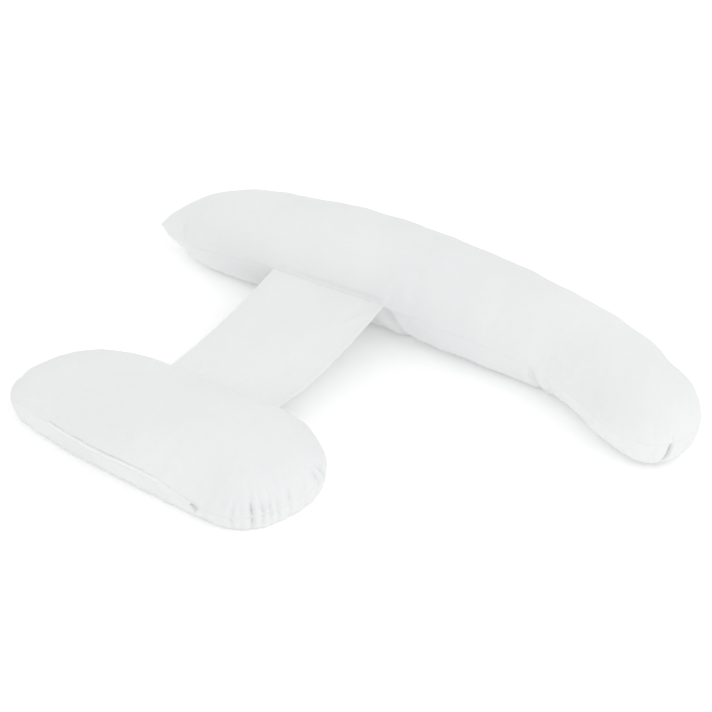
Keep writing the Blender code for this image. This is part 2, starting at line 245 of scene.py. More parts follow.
def bell(value, width):
    # 1 at 0, and down to 1/e at the width: exp(-(value / width)^2)
    return np.exp(-(value / width) ** 2)


def sewnPanels(outline, above, below, slack, pinch):
    # Two panels sewn round one rim. At the angle a from the seam, a quarter turn at the crown or the
    # base, a point lies at spine + (rim - spine) cos a / (1 + pinch sin a) in plan, and its height
    # goes from the seam's to the crown's or the base's with sin a. Slack under 1 fills the lower panel.
    rim, spine, crown, base = (outline[key] for key in ("rim", "spine", "crown", "base"))
    seam = rim[:, 2][:, None]
    reach = (rim[:, :2] - spine)[:, None, :]

    def panel(angles, height, power):
        drawnIn = (np.maximum(np.cos(angles), 0.0) / (1 + pinch * np.sin(angles))) ** power
        drawnIn[angles > halfTurn / 2 - 1e-9] = 0.0
        plan = spine[:, None, :] + reach * drawnIn[None, :, None]
        return np.dstack([plan, seam + (height[:, None] - seam) * np.sin(angles)])

    lower = panel(below, base, slack)[:, ::-1]
    return np.concatenate([lower[:, :-1], panel(above, crown, 1.0)], axis=1)


def laidOnFloor(height, turn):
    # heights below -turn lie on the floor, and those up to +turn rise from it along a parabola
    turning = turn * ((height + turn) / (2 * turn)) ** 2
    return np.where(height > turn, height, np.where(height < -turn, 0.0, turning))


def gridFaces(points, closedColumns, closedRows=False):
    # the grid's four-cornered faces, in numbers of welded points: grid points that share one place
    # are one point of the mesh. It returns each grid point's welded number, and the faces.
    columns, rows = points.shape[:2]
    number = np.arange(columns * rows).reshape(columns, rows)
    first, after = (number, np.roll(number, -1, 0)) if closedColumns else (number[:-1], number[1:])
    if closedRows:
        corners = (first, after, np.roll(after, -1, 1), np.roll(first, -1, 1))
    else:
        corners = (first[:, :-1], after[:, :-1], after[:, 1:], first[:, 1:])
    flat = np.ascontiguousarray(points.reshape(-1, 3)) + 0.0
    _, welded = np.unique(flat, axis=0, return_inverse=True)
    return welded.reshape(-1), np.stack(corners, axis=-1).reshape(-1, 4)


def averaged(welded, values):
    # the mean value of the grid points that are one welded point
    count = np.bincount(welded)
    flat = values.reshape(-1, values.shape[-1])
    return np.stack([np.bincount(welded, flat[:, k]) / count for k in range(flat.shape[1])], axis=1)


def normalsOf(places, faces):
    # each point's normal is the sum of its faces' normals, the cross product of their diagonals
    across = np.cross(places[faces[:, 2]] - places[faces[:, 0]], places[faces[:, 3]] - places[faces[:, 1]])
    total = np.zeros_like(places)
    for corner in faces.T:
        for k in range(3):
            total[:, k] += np.bincount(corner, across[:, k], len(places))
    return unit(total)


def outwardFaces(places, welded, faces):
    # the grid's faces turned so that the solid's volume, the sum of their corners' triple products, is
    # above 0
    a, b, c, d = (places[welded[faces[:, k]]] for k in range(4))
    volume = (a * np.cross(b, c)).sum() + (a * np.cross(c, d)).sum()
    return places, faces if volume > 0 else faces[:, ::-1]


def solidOf(points, closedColumns, closedRows=False):
    # a closed grid as (places, faces), its faces outward
    welded, faces = gridFaces(points, closedColumns, closedRows)
    places, faces = outwardFaces(averaged(welded, points), welded, faces)
    return places, welded[faces]


def meshOf(name, places, faces, cut=None):
    # the faces without their repeated corners; those left with fewer than three corners are dropped.
    # cut is the flat pattern's place, in metres, of each corner of each face.
    differs = faces != np.roll(faces, -1, axis=1)
    kept = differs.sum(axis=1) > 2
    faces, differs = faces[kept], differs[kept]
    sizes = differs.sum(axis=1)
    mesh = bpy.data.meshes.new(name)
    mesh.vertices.add(len(places))
    mesh.vertices.foreach_set("co", np.asarray(places, np.float32).ravel())
    mesh.loops.add(int(sizes.sum()))
    mesh.loops.foreach_set("vertex_index", faces[differs].astype(np.int32))
    mesh.polygons.add(len(sizes))
    mesh.polygons.foreach_set("loop_start", (np.cumsum(sizes) - sizes).astype(np.int32))
    mesh.update(calc_edges=True)
    if cut is not None:
        layer = mesh.uv_layers.new(name="cut")
        layer.data.foreach_set("uv", np.asarray(cut[kept][differs], np.float32).ravel())
    mesh.shade_smooth()
    return mesh


def newPiece(name, mesh, *materials):
    # an object at the origin, unturned and unscaled
    piece = bpy.data.objects.new(name, mesh)
    for material in materials:
        piece.data.materials.append(material)
    bpy.context.scene.collection.objects.link(piece)
    return piece


def joined(*parts):
    # several (places, faces) as one
    starts = np.cumsum([0] + [len(places) for places, _ in parts[:-1]])
    return (np.concatenate([places for places, _ in parts]),
            np.concatenate([faces + start for (_, faces), start in zip(parts, starts)]))


def repeated(shape, origins, frames):
    # one small shape set at many places: its point p goes to origin + p times the frame's three rows
    places, faces = shape
    moved = origins[:, None, :] + np.einsum("kc,mcd->mkd", places, frames)
    starts = np.arange(len(origins))[:, None, None] * len(places)
    return moved.reshape(-1, 3), (faces[None] + starts).reshape(-1, 4)


def bead(halfSizes, around, rings):
    # an ellipsoid: (x, y, z) = sizes times (cos b, sin b cos a, sin b sin a)
    a = np.linspace(0, 2 * halfTurn, around, endpoint=False)[:, None]
    b = np.linspace(0, halfTurn, rings + 1)[None, :]
    places = np.stack([np.cos(b) + 0 * a, np.sin(b) * np.cos(a), np.sin(b) * np.sin(a)], axis=-1)
    places[:, 0], places[:, -1] = (1.0, 0.0, 0.0), (-1.0, 0.0, 0.0)
    return solidOf(places * np.array(halfSizes), True)


# Materials

def wovenCotton(name, finish):
    # plain-woven white cotton, washed and matt: it scatters light evenly, with a faint pale sheen at
    # grazing angles, threads of uneven thickness, and a soft crumple. Its threads are 0.3 mm apart in
    # life, and are drawn coarser so that they show.
    material, tree, shader = newMaterial(name)
    cut = addNode(tree, "ShaderNodeUVMap", uv_map="cut").outputs["UV"]
    place = addNode(tree, "ShaderNodeTexCoord").outputs["Object"]
    pitch = finish["threadPitch"]
    bands = 2 * halfTurn / 20 / (2 * pitch)    # a wave texture's period is 2 pi / (20 scale)
    warp, weft = (addNode(tree, "ShaderNodeTexWave", {"Vector": cut, "Scale": bands, "Distortion": 0.0},
                          bands_direction=axis).outputs["Fac"] for axis in ("X", "Y"))
    over = addNode(tree, "ShaderNodeTexChecker", {"Vector": cut, "Scale": 1 / pitch}).outputs["Fac"]
    weave = addNode(tree, "ShaderNodeMix", {0: over, 2: warp, 3: weft}).outputs[0]
    slubs = []
    for stretch in ((1 / finish["slubLength"], 1 / finish["slubWidth"], 1.0),
                    (1 / finish["slubWidth"], 1 / finish["slubLength"], 1.0)):
        drawn = addNode(tree, "ShaderNodeMapping", {"Vector": cut, "Scale": stretch})
        slubs.append(noise(tree, drawn.outputs["Vector"], 1.0, 2.0))
    slub = addNode(tree, "ShaderNodeMath", {0: slubs[0], 1: slubs[1]}, operation="ADD").outputs[0]
    crumple = noise(tree, place, finish["crumpleSize"], 3.0, Roughness=0.5)
    cloud = noise(tree, place, finish["cloudSize"], 2.0)
    shade = addNode(tree, "ShaderNodeMapRange", {"Value": slub, "From Min": 0.7, "From Max": 1.3})
    faint = addNode(tree, "ShaderNodeMapRange", {"Value": cloud, "From Min": 0.35, "From Max": 0.65,
                                                 "To Min": 0.0, "To Max": finish["cloudShare"]})
    # painted shade: a thin line along the seam is blended towards a darker grey, standing in for the shade in
    # the seam's crease
    seamShade = addNode(tree, "ShaderNodeAttribute", attribute_name="seamShade").outputs["Fac"]
    colour = blended(tree, shade.outputs[0], linear(finish["slubColour"]), linear(finish["colour"]))
    colour = blended(tree, faint.outputs[0], colour, linear(finish["cloudColour"]))
    colour = blended(tree, seamShade, colour, linear(finish["seamShadeColour"]))
    normal = relief(tree, weave, *finish["weaveRelief"])
    normal = relief(tree, slub, *finish["slubRelief"], Normal=normal)
    normal = relief(tree, crumple, *finish["crumpleRelief"], Normal=normal)
    feed(tree, shader, {"Base Color": colour, "Normal": normal, "Roughness": finish["roughness"],
                        "Specular IOR Level": finish["gloss"], "Sheen Weight": finish["sheen"],
                        "Sheen Roughness": finish["sheenRoughness"]})
    return material


def smoothFinish(name, finish):
    # a moulded or enamelled surface: even colour, the gloss of its roughness, and a little unevenness
    material, tree, shader = newMaterial(name)
    place = addNode(tree, "ShaderNodeTexCoord").outputs["Object"]
    grain = noise(tree, place, finish["grain"], 3.0)
    colour = blended(tree, grain, linear(finish["colour"]), linear(finish["shade"]))
    rough = addNode(tree, "ShaderNodeMapRange", {"Value": grain, "To Min": finish["roughness"] - 0.06,
                                                 "To Max": finish["roughness"] + 0.06}).outputs[0]
    feed(tree, shader, {"Base Color": colour, "Roughness": rough,
                        "Normal": relief(tree, grain, 0.15, 0.0001), "Metallic": finish["metallic"]})
    return material


cottonFinish = {
    # the darker seam colour is painted shade, laid along the seam's crease
    "colour": "#F2F3F3", "slubColour": "#EDEEEE", "cloudColour": "#E9EAEB", "seamShadeColour": "#C9CBCC",
    "threadPitch": 0.0007,             # m between threads, drawn about twice as coarse as in life
    "slubWidth": 0.0010, "slubLength": 0.030,
    "crumpleSize": 0.030, "cloudSize": 0.25, "cloudShare": 0.6,
    # strength and depth in m of each relief
    "weaveRelief": (0.35, 0.0002), "slubRelief": (0.30, 0.0003), "crumpleRelief": (0.30, 0.0020),
    "roughness": 0.9, "gloss": 0.25, "sheen": 0.15, "sheenRoughness": 0.5,
}
pillowCotton = wovenCotton("wovenPillowCotton", cottonFinish)
beltCotton = wovenCotton("wovenBeltCotton", {**cottonFinish, "crumpleSize": 0.022,
                                             "crumpleRelief": (0.35, 0.0020)})
sewingThread = smoothFinish("polyesterSewingThread", {
    "colour": "#F4F4F3", "shade": "#E6E6E4", "roughness": 0.6, "metallic": 0.0, "grain": 0.0006})
zipCoil = smoothFinish("mouldedNylonCoil", {
    "colour": "#FFFFFF", "shade": "#FBFCFC", "roughness": 0.38, "metallic": 0.0, "grain": 0.004})
zipTape = wovenCotton("wovenPolyesterTape", {**cottonFinish, "colour": "#FAFAFA", "threadPitch": 0.0006})
sliderEnamel = smoothFinish("enamelledZinc", {
    "colour": "#DEE0E1", "shade": "#D6D9DA", "roughness": 0.35, "metallic": 0.0, "grain": 0.003})
print("stage: materials made")


# The two filled pieces

filling = {
    "pinch": 0.10,                     # how much the seam draws a section in above and below it
    "floorTurn": 0.014,                # the cloth turns up from the floor over this height
    "crowding": 1.3,                   # over 1 crowds the rows towards the seam
    "rowsAbove": 76, "rowsBelow": 76,
    "simRowsAbove": 24, "simRowsBelow": 26,
    "frames": 20,
    "cloth": {"quality": 5, "mass": 0.15, "tension_stiffness": 15, "compression_stiffness": 15,
              "shear_stiffness": 5, "bending_stiffness": 0.2, "use_pressure": True,
              "uniform_pressure_force": 4.0, "shrink_min": 0.0, "shrink_max": 0.16},
    "drawnUp": 0.012,                  # the seam draws the simulated cloth up within this distance
    "drawnLeast": 0.15,                # and by this share where it runs straight
    "swellingPasses": 30,              # smoothing that tells the even swelling from the folds
    "foldsKept": 0.22,                 # the share kept of the simulated folds, as the cloth is taut
    "cap": 0.006,                      # which never move a point further than this
    "foldsReach": (0.07, 0.13),        # and die out over these distances from the seam
    "unevenness": ((0.0010, (0.07, 0.17), 9), (0.00022, (0.022, 0.045), 12)),    # height, sizes, waves
    "groove": 0.0007, "grooveWidth": 0.0020,
    # painted shade along the seam: its share of the darker seam colour and its width in m
    "seamShade": 0.15, "seamShadeWidth": 0.0010,
    "tightRadius": 0.12,               # a seam that turns with this radius or less gathers fully
    "curvePasses": 12,
}

gather = {
    # the plump lips beside a gather: height for its depth, place and width for its half width
    "lip": 0.25, "lipPlace": 2.2, "lipWidth": 1.1,
    # how it draws the cloth towards its middle: for its depth, at the most, and the reach in half widths
    "draw": 0.35, "drawMost": 0.55, "drawReach": 2.5,
    # ranges of the loose ones: shares of the depth and of the spacing, half width, peak and lean
    "depths": (0.2, 1.0), "spacings": (0.6, 1.4), "widths": (0.0045, 0.0075),
    "peaks": (0.008, 0.016), "leans": (-0.25, 0.25),
}

bolster = {
    # x and y of the spine, half width, heights of the seam, of the crown and of the lower panel
    "sections": (
        (-0.678, 0.266, 0.000, 0.053, 0.055, 0.051),    # point
        (-0.654, 0.276, 0.034, 0.053, 0.080, 0.036),    # nose
        (-0.585, 0.296, 0.076, 0.066, 0.136, -0.008),   # nose root
        (-0.480, 0.300, 0.103, 0.089, 0.182, -0.014),   # left arm
        (-0.359, 0.310, 0.113, 0.106, 0.201, -0.018),   # belt, left
        (-0.229, 0.324, 0.120, 0.104, 0.213, -0.019),   # belt, middle
        (-0.080, 0.332, 0.121, 0.105, 0.215, -0.019),   # belt, right
        (0.060, 0.331, 0.119, 0.103, 0.211, -0.019),    # middle
        (0.199, 0.329, 0.114, 0.098, 0.202, -0.018),    # right arm
        (0.324, 0.321, 0.107, 0.092, 0.190, -0.017),    # bend
        (0.428, 0.287, 0.107, 0.092, 0.190, -0.017),    # after the bend
        (0.529, 0.238, 0.106, 0.089, 0.184, -0.017),    # round end root
        (0.645, 0.187, 0.095, 0.083, 0.171, -0.019),    # round end
    ),
    # columns along the spine, more near the point, and more round the end
    "grid": (222, 9, 90), "simGrid": (170, 4, 22),
    "roundLength": 0.125,              # the round end closes over this length
    "roundPower": 2.35,                # 2 closes in an ellipse, more is blunter
    "slack": 1.0,
    # x, y, z of the two ends, where simulated folds die out, and the distances over which they do
    "plainEnds": ((-0.666, 0.266, 0.047, 0.05, 0.16), (0.660, 0.187, 0.090, 0.05, 0.30)),
    # gathers that show: x and y on the seam, depth above and below it, half width, how far from the
    # seam each is deepest, and how far it leans along the seam for its length
    "gathers": (
        (0.643, 0.167, 0.0000, 0.0190, 0.0034, 0.022, -0.15),   # dart in the round end
        (0.643, 0.167, 0.0030, 0.0000, 0.0040, 0.006, 0.00),
        (0.620, 0.150, 0.0000, 0.0022, 0.0050, 0.016, -0.30),   # beside it
        (0.576, 0.129, 0.0004, 0.0022, 0.0060, 0.014, -0.30),
        (0.545, 0.132, 0.0004, 0.0020, 0.0050, 0.020, 0.20),
        (0.523, 0.140, 0.0000, 0.0018, 0.0050, 0.024, 0.10),
        (0.498, 0.148, 0.0004, 0.0022, 0.0055, 0.026, 0.20),
        (0.470, 0.160, 0.0000, 0.0020, 0.0050, 0.026, 0.10),
        (0.425, 0.180, 0.0004, 0.0026, 0.0055, 0.030, 0.20),
        (0.382, 0.200, 0.0008, 0.0030, 0.0060, 0.034, 0.10),
        (0.361, 0.208, 0.0008, 0.0045, 0.0055, 0.036, 0.20),
        (0.337, 0.218, 0.0010, 0.0050, 0.0060, 0.036, 0.10),
        (0.302, 0.226, 0.0008, 0.0085, 0.0070, 0.042, 0.10),    # pinch inside the bend
        (-0.575, 0.229, 0.0038, 0.0006, 0.0032, 0.018, 0.00),   # crease by the point
        (-0.600, 0.243, 0.0014, 0.0004, 0.0050, 0.014, 0.20),
        (-0.050, 0.213, 0.0000, 0.0180, 0.0130, 0.045, 0.45),   # tucked in under the belt's corner
        (-0.036, 0.213, 0.0030, 0.0030, 0.0055, 0.018, 0.20),   # pleats right of the belt
        (-0.022, 0.213, 0.0018, 0.0040, 0.0055, 0.018, 0.20),
        (-0.006, 0.213, 0.0014, 0.0032, 0.0055, 0.016, 0.20),
        (0.012, 0.213, 0.0010, 0.0026, 0.0060, 0.016, 0.20),
    ),
    "looseGathers": {"spacing": 0.021, "depth": 0.0012, "straightDepth": 0.0003},
    # the crease above the belt's seam: x over which it deepens and ends, on the side where y is below
    # a limit, and its depth, distance from the seam and width
    "pullRise": (-0.34, -0.20), "pullFall": (-0.06, -0.03), "pullSide": 0.28,
    "pull": 0.0028, "pullPlace": 0.008, "pullWidth": 0.006,
}

shortCushion = {
    # x, y and height of the seam, anticlockwise from the zip's left end, and the steps to the next row
    # in the fine and in the simulated grid
    "seam": (
        (-0.430, -0.425, 0.063, 24, 16),    # zip, left end
        (-0.304, -0.441, 0.063, 28, 18),    # zip, left middle
        (-0.163, -0.444, 0.061, 24, 15),    # zip, right middle
        (-0.052, -0.446, 0.043, 20, 9),     # zip, right end
        (0.014, -0.437, 0.038, 20, 9),      # near corner, start
        (0.064, -0.401, 0.039, 20, 9),      # near corner
        (0.091, -0.346, 0.040, 20, 9),      # right end, near
        (0.105, -0.284, 0.042, 18, 8),      # right end, middle
        (0.100, -0.230, 0.048, 18, 9),      # right end, far
        (0.059, -0.184, 0.054, 14, 9),      # far corner
        (0.000, -0.152, 0.056, 22, 16),     # far corner, end
        (-0.120, -0.146, 0.056, 22, 15),    # belt, right
        (-0.230, -0.146, 0.056, 28, 18),    # belt, middle
        (-0.370, -0.150, 0.056, 24, 9),     # belt, left
        (-0.460, -0.170, 0.056, 14, 9),     # far left, start
        (-0.519, -0.220, 0.056, 14, 9),     # far left corner
        (-0.553, -0.280, 0.057, 12, 8),     # left end, far
        (-0.569, -0.335, 0.058, 12, 8),     # left end
        (-0.552, -0.394, 0.060, 12, 8),     # near left corner
        (-0.497, -0.415, 0.062, 14, 8),     # near left, end
    ),
    "sides": (4, 6, 4, 6),             # rows on the near, the right, the far and the left side
    # the line under the crown, and the crown's height
    "crown": ((-0.450, -0.289, 0.112), (-0.250, -0.292, 0.130), (-0.040, -0.302, 0.136)),
    "base": -0.050,
    "slack": 0.5,
    "plainEnds": (),
    "gathers": (
        (0.002, -0.440, 0.0020, 0.0016, 0.0050, 0.020, 0.20),
        (0.029, -0.433, 0.0050, 0.0050, 0.0040, 0.011, 0.10),
        (0.044, -0.423, 0.0026, 0.0030, 0.0036, 0.016, 0.00),
        (0.063, -0.409, 0.0110, 0.0100, 0.0042, 0.013, 0.00),   # the deepest, at the near corner
        (0.077, -0.392, 0.0080, 0.0070, 0.0036, 0.012, -0.10),
        (0.087, -0.379, 0.0064, 0.0060, 0.0036, 0.011, 0.00),
        (0.094, -0.366, 0.0050, 0.0050, 0.0034, 0.011, 0.10),
        (0.103, -0.339, 0.0060, 0.0050, 0.0040, 0.013, 0.00),
        (0.110, -0.305, 0.0036, 0.0036, 0.0040, 0.013, 0.10),
        (0.113, -0.263, 0.0066, 0.0050, 0.0040, 0.013, -0.15),
        (0.110, -0.242, 0.0070, 0.0050, 0.0038, 0.013, -0.20),
        (-0.395, -0.432, 0.0006, 0.0022, 0.0080, 0.014, 0.60),  # on the band under the zip
        (-0.325, -0.440, 0.0004, 0.0030, 0.0075, 0.018, 0.60),
        (-0.262, -0.443, 0.0004, 0.0018, 0.0080, 0.018, 0.60),
        (-0.180, -0.444, 0.0006, 0.0036, 0.0070, 0.018, 0.70),
        (-0.152, -0.444, 0.0006, 0.0030, 0.0070, 0.016, 0.70),
        (-0.105, -0.445, 0.0004, 0.0022, 0.0070, 0.016, 0.50),
        (-0.028, -0.446, 0.0012, 0.0026, 0.0055, 0.012, 0.30),
    ),
    "looseGathers": {"spacing": 0.019, "depth": 0.0016, "straightDepth": 0.0003},
    "zip": (-0.418, -0.040),           # x of the zip's two ends, in the frame
    "zipSide": -0.35,                  # the zip's side of the seam has its y below this
    # the cloth turned back at the zip: a roll, and inside it a sunk line along the tape's edge
    "lip": 0.0008, "lipPlace": 0.0080, "lipWidth": 0.0022,
    "sunk": 0.0005, "sunkPlace": 0.0054, "sunkWidth": 0.0013,
}


def bolsterOutline(settings, grid):
    # The seam loop of a spine that runs from the point to the round end. The half width, and the
    # heights from the seam, close at the round end with (1 - c ** p) ** (1 / p), where c is the share
    # of the closing length and p the power.
    stations, noseStations, roundStations = settings[grid]
    rows = np.array(settings["sections"])
    length = runAlong(rows[:, :2])[-1]
    root = 1.0 - settings["roundLength"] / length
    even = np.linspace(0.0, root, stations)
    nose = even[1] * (np.arange(1, noseStations) / noseStations) ** 1.5
    turn = np.sin(np.linspace(0.0, halfTurn / 2, roundStations + 1))[1:]
    shares = np.sort(np.concatenate([even, nose, root + (1.0 - root) * turn]))
    closing = np.clip((shares - root) / (1.0 - root), 0.0, 1.0)
    power = settings["roundPower"]
    left = (1.0 - closing**power) ** (1.0 / power)
    x, y, half, seam, crown, base = smoothCurve(rows, shares).T
    half = np.maximum(half, 0.0) * left
    spine = np.stack([x, y], axis=1)
    forward = unit(np.gradient(spine, axis=0))
    across = np.stack([forward[:, 1], -forward[:, 0]], axis=1)
    near = np.column_stack([spine + across * half[:, None], seam])
    far = np.column_stack([spine - across * half[:, None], seam])
    back = slice(-2, 0, -1)
    pair = lambda values: np.concatenate([values, values[back]])
    return {"rim": np.concatenate([near, far[back]]), "spine": pair(spine),
            "crown": pair(seam + (crown - seam) * left), "base": pair(seam + (base - seam) * left),
            "loop": np.concatenate([shares, 2.0 - shares[back]]), "loopLength": 2.0}


def cushionOutline(settings, stepColumn):
    # The closed seam curve, and for each of its points the crown point across from it: the near and
    # the far side run along the crown's line, and the two ends fan out from its ends.
    rows = np.array(settings["seam"])
    steps = rows[:, stepColumn].astype(int)
    looped = np.concatenate([rows[-2:, :3], rows[:, :3], rows[:3, :3]])
    knots = runAlong(looped[:, :2])
    at = np.concatenate([np.linspace(knots[row + 2], knots[row + 3], count, endpoint=False)
                         for row, count in enumerate(steps)])
    rim = smoothCurve(looped, at / knots[-1])
    ends = np.cumsum(settings["sides"])
    near, right, far, left = (part.sum() for part in np.split(steps, ends[:-1]))
    share = np.concatenate([np.arange(near) / near, np.ones(right), 1.0 - np.arange(far) / far,
                            np.zeros(left)])
    x, y, crown = smoothCurve(settings["crown"], share).T
    return {"rim": rim, "spine": np.column_stack([x, y]), "crown": crown,
            "base": np.full(len(rim), settings["base"]), "loop": at - knots[2],
            "loopLength": knots[len(rows) + 2] - knots[2]}


def placeOf(node, points):
    # how far the plan's own origin is from the frame's, from the middles of the two boxes
    low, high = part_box(node)
    flat = points.reshape(-1, 3)
    middle = (flat.min(axis=0) + flat.max(axis=0)) / 2
    return np.array([(low.x + high.x) / 2 - middle[0], (low.y + high.y) / 2 - middle[1], 0.0])


def simulatedFolds(name, points, welded, faces, easing, settings):
    # The sewn cover filled to a pressure, gravity off, with its seam drawn up where it curves. It
    # returns the folds f / (1 + |f| / cap), where f is a share of how far the cloth moves less its
    # even swelling, because the frame sets the piece's size.
    start = averaged(welded, points)
    cover = newPiece(name + "Trial", meshOf(name + "Trial", start, welded[faces]))
    group = cover.vertex_groups.new(name="seam")
    for level in range(1, 11):
        members = np.flatnonzero(np.round(easing * 10) == level)
        group.add(members.tolist(), level / 10, "REPLACE")
    cloth = cover.modifiers.new("Cloth", "CLOTH")
    for setting, value in settings["cloth"].items():
        setattr(cloth.settings, setting, value)
    cloth.settings.vertex_group_shrink = "seam"
    cloth.settings.effector_weights.gravity = 0.0
    cloth.collision_settings.use_collision = False
    cloth.point_cache.frame_start, cloth.point_cache.frame_end = 1, settings["frames"]
    for at in range(1, settings["frames"] + 1):
        bpy.context.scene.frame_set(at)
    bpy.ops.object.select_all(action="DESELECT")
    bpy.context.view_layer.objects.active = cover
    cover.select_set(True)
    bpy.ops.object.modifier_apply(modifier="Cloth")
    bpy.context.scene.frame_set(1)
    ended = np.empty(len(start) * 3, np.float32)
    cover.data.vertices.foreach_get("co", ended)
    moved = ended.reshape(-1, 3) - start
    edges = np.empty(len(cover.data.edges) * 2, np.int32)
    cover.data.edges.foreach_get("vertices", edges)
    one, other = edges.reshape(-1, 2).T
    count = (np.bincount(one, minlength=len(start)) + np.bincount(other, minlength=len(start)))[:, None]
    swelling = moved
    for _ in range(settings["swellingPasses"]):
        total = np.zeros_like(moved)
        for k in range(3):
            total[:, k] = (np.bincount(one, swelling[other, k], len(start))
                           + np.bincount(other, swelling[one, k], len(start)))
        swelling = 0.5 * swelling + 0.5 * total / count
    folds = (moved - swelling) * settings["foldsKept"]
    far = np.linalg.norm(folds, axis=1, keepdims=True)
    folds /= 1 + far / settings["cap"]
    bpy.data.objects.remove(cover, do_unlink=True)
    print("stage:", name, "filled; its folds are up to %.1f mm deep" % (1000 * far.max()))
    return folds


def curving(rim):
    # 0 where the seam runs straight in plan, to 1 where it turns with the tight radius or less: the
    # turn of each step for its length, times that radius, smoothed
    steps = np.roll(rim[:, :2], -1, 0) - rim[:, :2]
    ahead = unit(steps)
    turned = ahead[:, 0] * np.roll(ahead[:, 1], 1) - ahead[:, 1] * np.roll(ahead[:, 0], 1)
    length = np.maximum(np.linalg.norm(steps, axis=1), 1e-9)
    curve = np.abs(turned) / length * filling["tightRadius"]
    for _ in range(filling["curvePasses"]):
        curve = 0.5 * curve + 0.25 * (np.roll(curve, 1) + np.roll(curve, -1))
    return np.clip(curve, 0.0, 1.0)


def gathered(points, rim, side, settings):
    # How far the cloth is drawn in, and sideways, by its gathers. From the seam point p0 with the
    # seam's direction t, a point p lies x = (p - p0) . t along the seam and d from that line. A gather's
    # depth is depth * a * exp(1 - sqrt(1 + (x / w)^2)), with a = (d / peak) * exp(1 - d / peak), less a
    # plump lip on each side, and it draws the cloth towards its middle by a share of x.
    rows = [tuple(row) for row in settings["gathers"]]
    loose = settings["looseGathers"]
    run = runAlong(np.concatenate([rim, rim[:1]]))
    curve = curving(rim)
    onward = unit(np.roll(rim, -1, 0) - np.roll(rim, 1, 0))
    at = loose["spacing"] / 2
    while at < run[-1]:
        column = np.searchsorted(run[:-1], at) - 1
        deep = loose["straightDepth"] + (loose["depth"] - loose["straightDepth"]) * curve[column]
        above, below = deep * random.uniform(*gather["depths"], 2)
        rows.append((*rim[column, :2], above, below,
                     *(random.uniform(*gather[key]) for key in ("widths", "peaks", "leans"))))
        at += loose["spacing"] * random.uniform(*gather["spacings"])
    inward = np.zeros(points.shape[:-1])
    aside = np.zeros_like(points)
    for x, y, above, below, width, peak, lean in rows:
        column = np.argmin(np.hypot(rim[:, 0] - x, rim[:, 1] - y))
        away = points - rim[column]
        along = away @ onward[column]
        d = np.sqrt(np.maximum((away**2).sum(axis=-1) - along**2, 0.0))
        across = along - lean * d
        depth = np.where(side > 0, above, below) * (d / peak) * np.exp(1 - d / peak)
        lips = gather["lip"] * bell(np.abs(across) / width - gather["lipPlace"], gather["lipWidth"])
        inward += depth * (np.exp(1 - np.hypot(1, across / width)) - lips)
        draw = np.minimum(gather["drawMost"], gather["draw"] * depth / width)
        draw = draw * across * bell(across, gather["drawReach"] * width)
        aside -= draw[..., None] * onward[column]
    return inward, aside


def unevenness(points, height, sizes, waves):
    # lumps of the filling: the mean of sine waves in random directions, of lengths between two sizes
    total = np.zeros(points.shape[:-1])
    for _ in range(waves):
        direction = unit(random.normal(size=3))
        length = random.uniform(*sizes)
        total += np.sin(points @ direction * 2 * halfTurn / length + random.uniform(0, 2 * halfTurn))
    return total * height / math.sqrt(waves / 2)


def endFading(points, settings):
    # 0 at each of the piece's closed ends to 1 a few centimetres away, so that the folds die out there
    keep = 1.0
    for x, y, z, none, full in settings["plainEnds"]:
        keep = keep * smoothStep(np.linalg.norm(points - (x, y, z), axis=-1), none, full)
    return keep


def cutPlaces(points, outline, seamRow):
    # The flat pattern. A point lies on the panel's pattern at spine + unit(rim - spine) * its distance
    # along the cloth from the crown or the base, and the lower panel's pattern lies a metre away.
    fromBase = runAlong(points)
    fromCrown = fromBase[:, -1:] - fromBase
    outward = unit(outline["rim"][:, :2] - outline["spine"])[:, None, :]
    lower = outline["spine"][:, None, :] + outward * fromBase[:, :seamRow + 1, None] + (0.0, 1.0)
    upper = outline["spine"][:, None, :] + outward * fromCrown[:, seamRow:, None]
    corners = []
    for part in (lower, upper):
        after = np.roll(part, -1, 0)
        corners.append(np.stack([part[:, :-1], after[:, :-1], after[:, 1:], part[:, 1:]], axis=2))
    return np.concatenate(corners, axis=1).reshape(-1, 4, 2)


def fromSeam(points, seamRow):
    # each point's distance from the seam along the cloth, below 0 on the lower panel
    run = runAlong(points)
    return run - run[:, seamRow:seamRow + 1]


def foldsOn(name, settings, outline, simOutline, below, above, shift):
    # the simulated folds, read from the coarse grid at the fine grid's shares of the loop and angles
    simAbove, simBelow = (np.linspace(0, 1, filling[key] + 1) * halfTurn / 2
                          for key in ("simRowsAbove", "simRowsBelow"))
    seamRow = filling["simRowsBelow"]
    points = sewnPanels(simOutline, simAbove, simBelow, settings["slack"], filling["pinch"]) + shift
    points[..., 2] = laidOnFloor(points[..., 2], filling["floorTurn"])
    welded, faces = gridFaces(points, True)
    drawn = filling["drawnLeast"] + (1 - filling["drawnLeast"]) * curving(points[:, seamRow])[:, None]
    easing = bell(fromSeam(points, seamRow), filling["drawnUp"]) * drawn
    folds = simulatedFolds(name, points, welded, faces, averaged(welded, easing[..., None])[:, 0], filling)
    folds = folds[welded].reshape(points.shape)
    loop = np.append(simOutline["loop"], simOutline["loopLength"])
    column = np.interp(outline["loop"], loop, np.arange(len(loop)))
    angles = np.concatenate([-simBelow[:0:-1], simAbove])
    row = np.interp(np.concatenate([-below[:0:-1], above]), angles, np.arange(len(angles)))
    return resampled(resampled(folds, column, 0, True), row, 1, False)


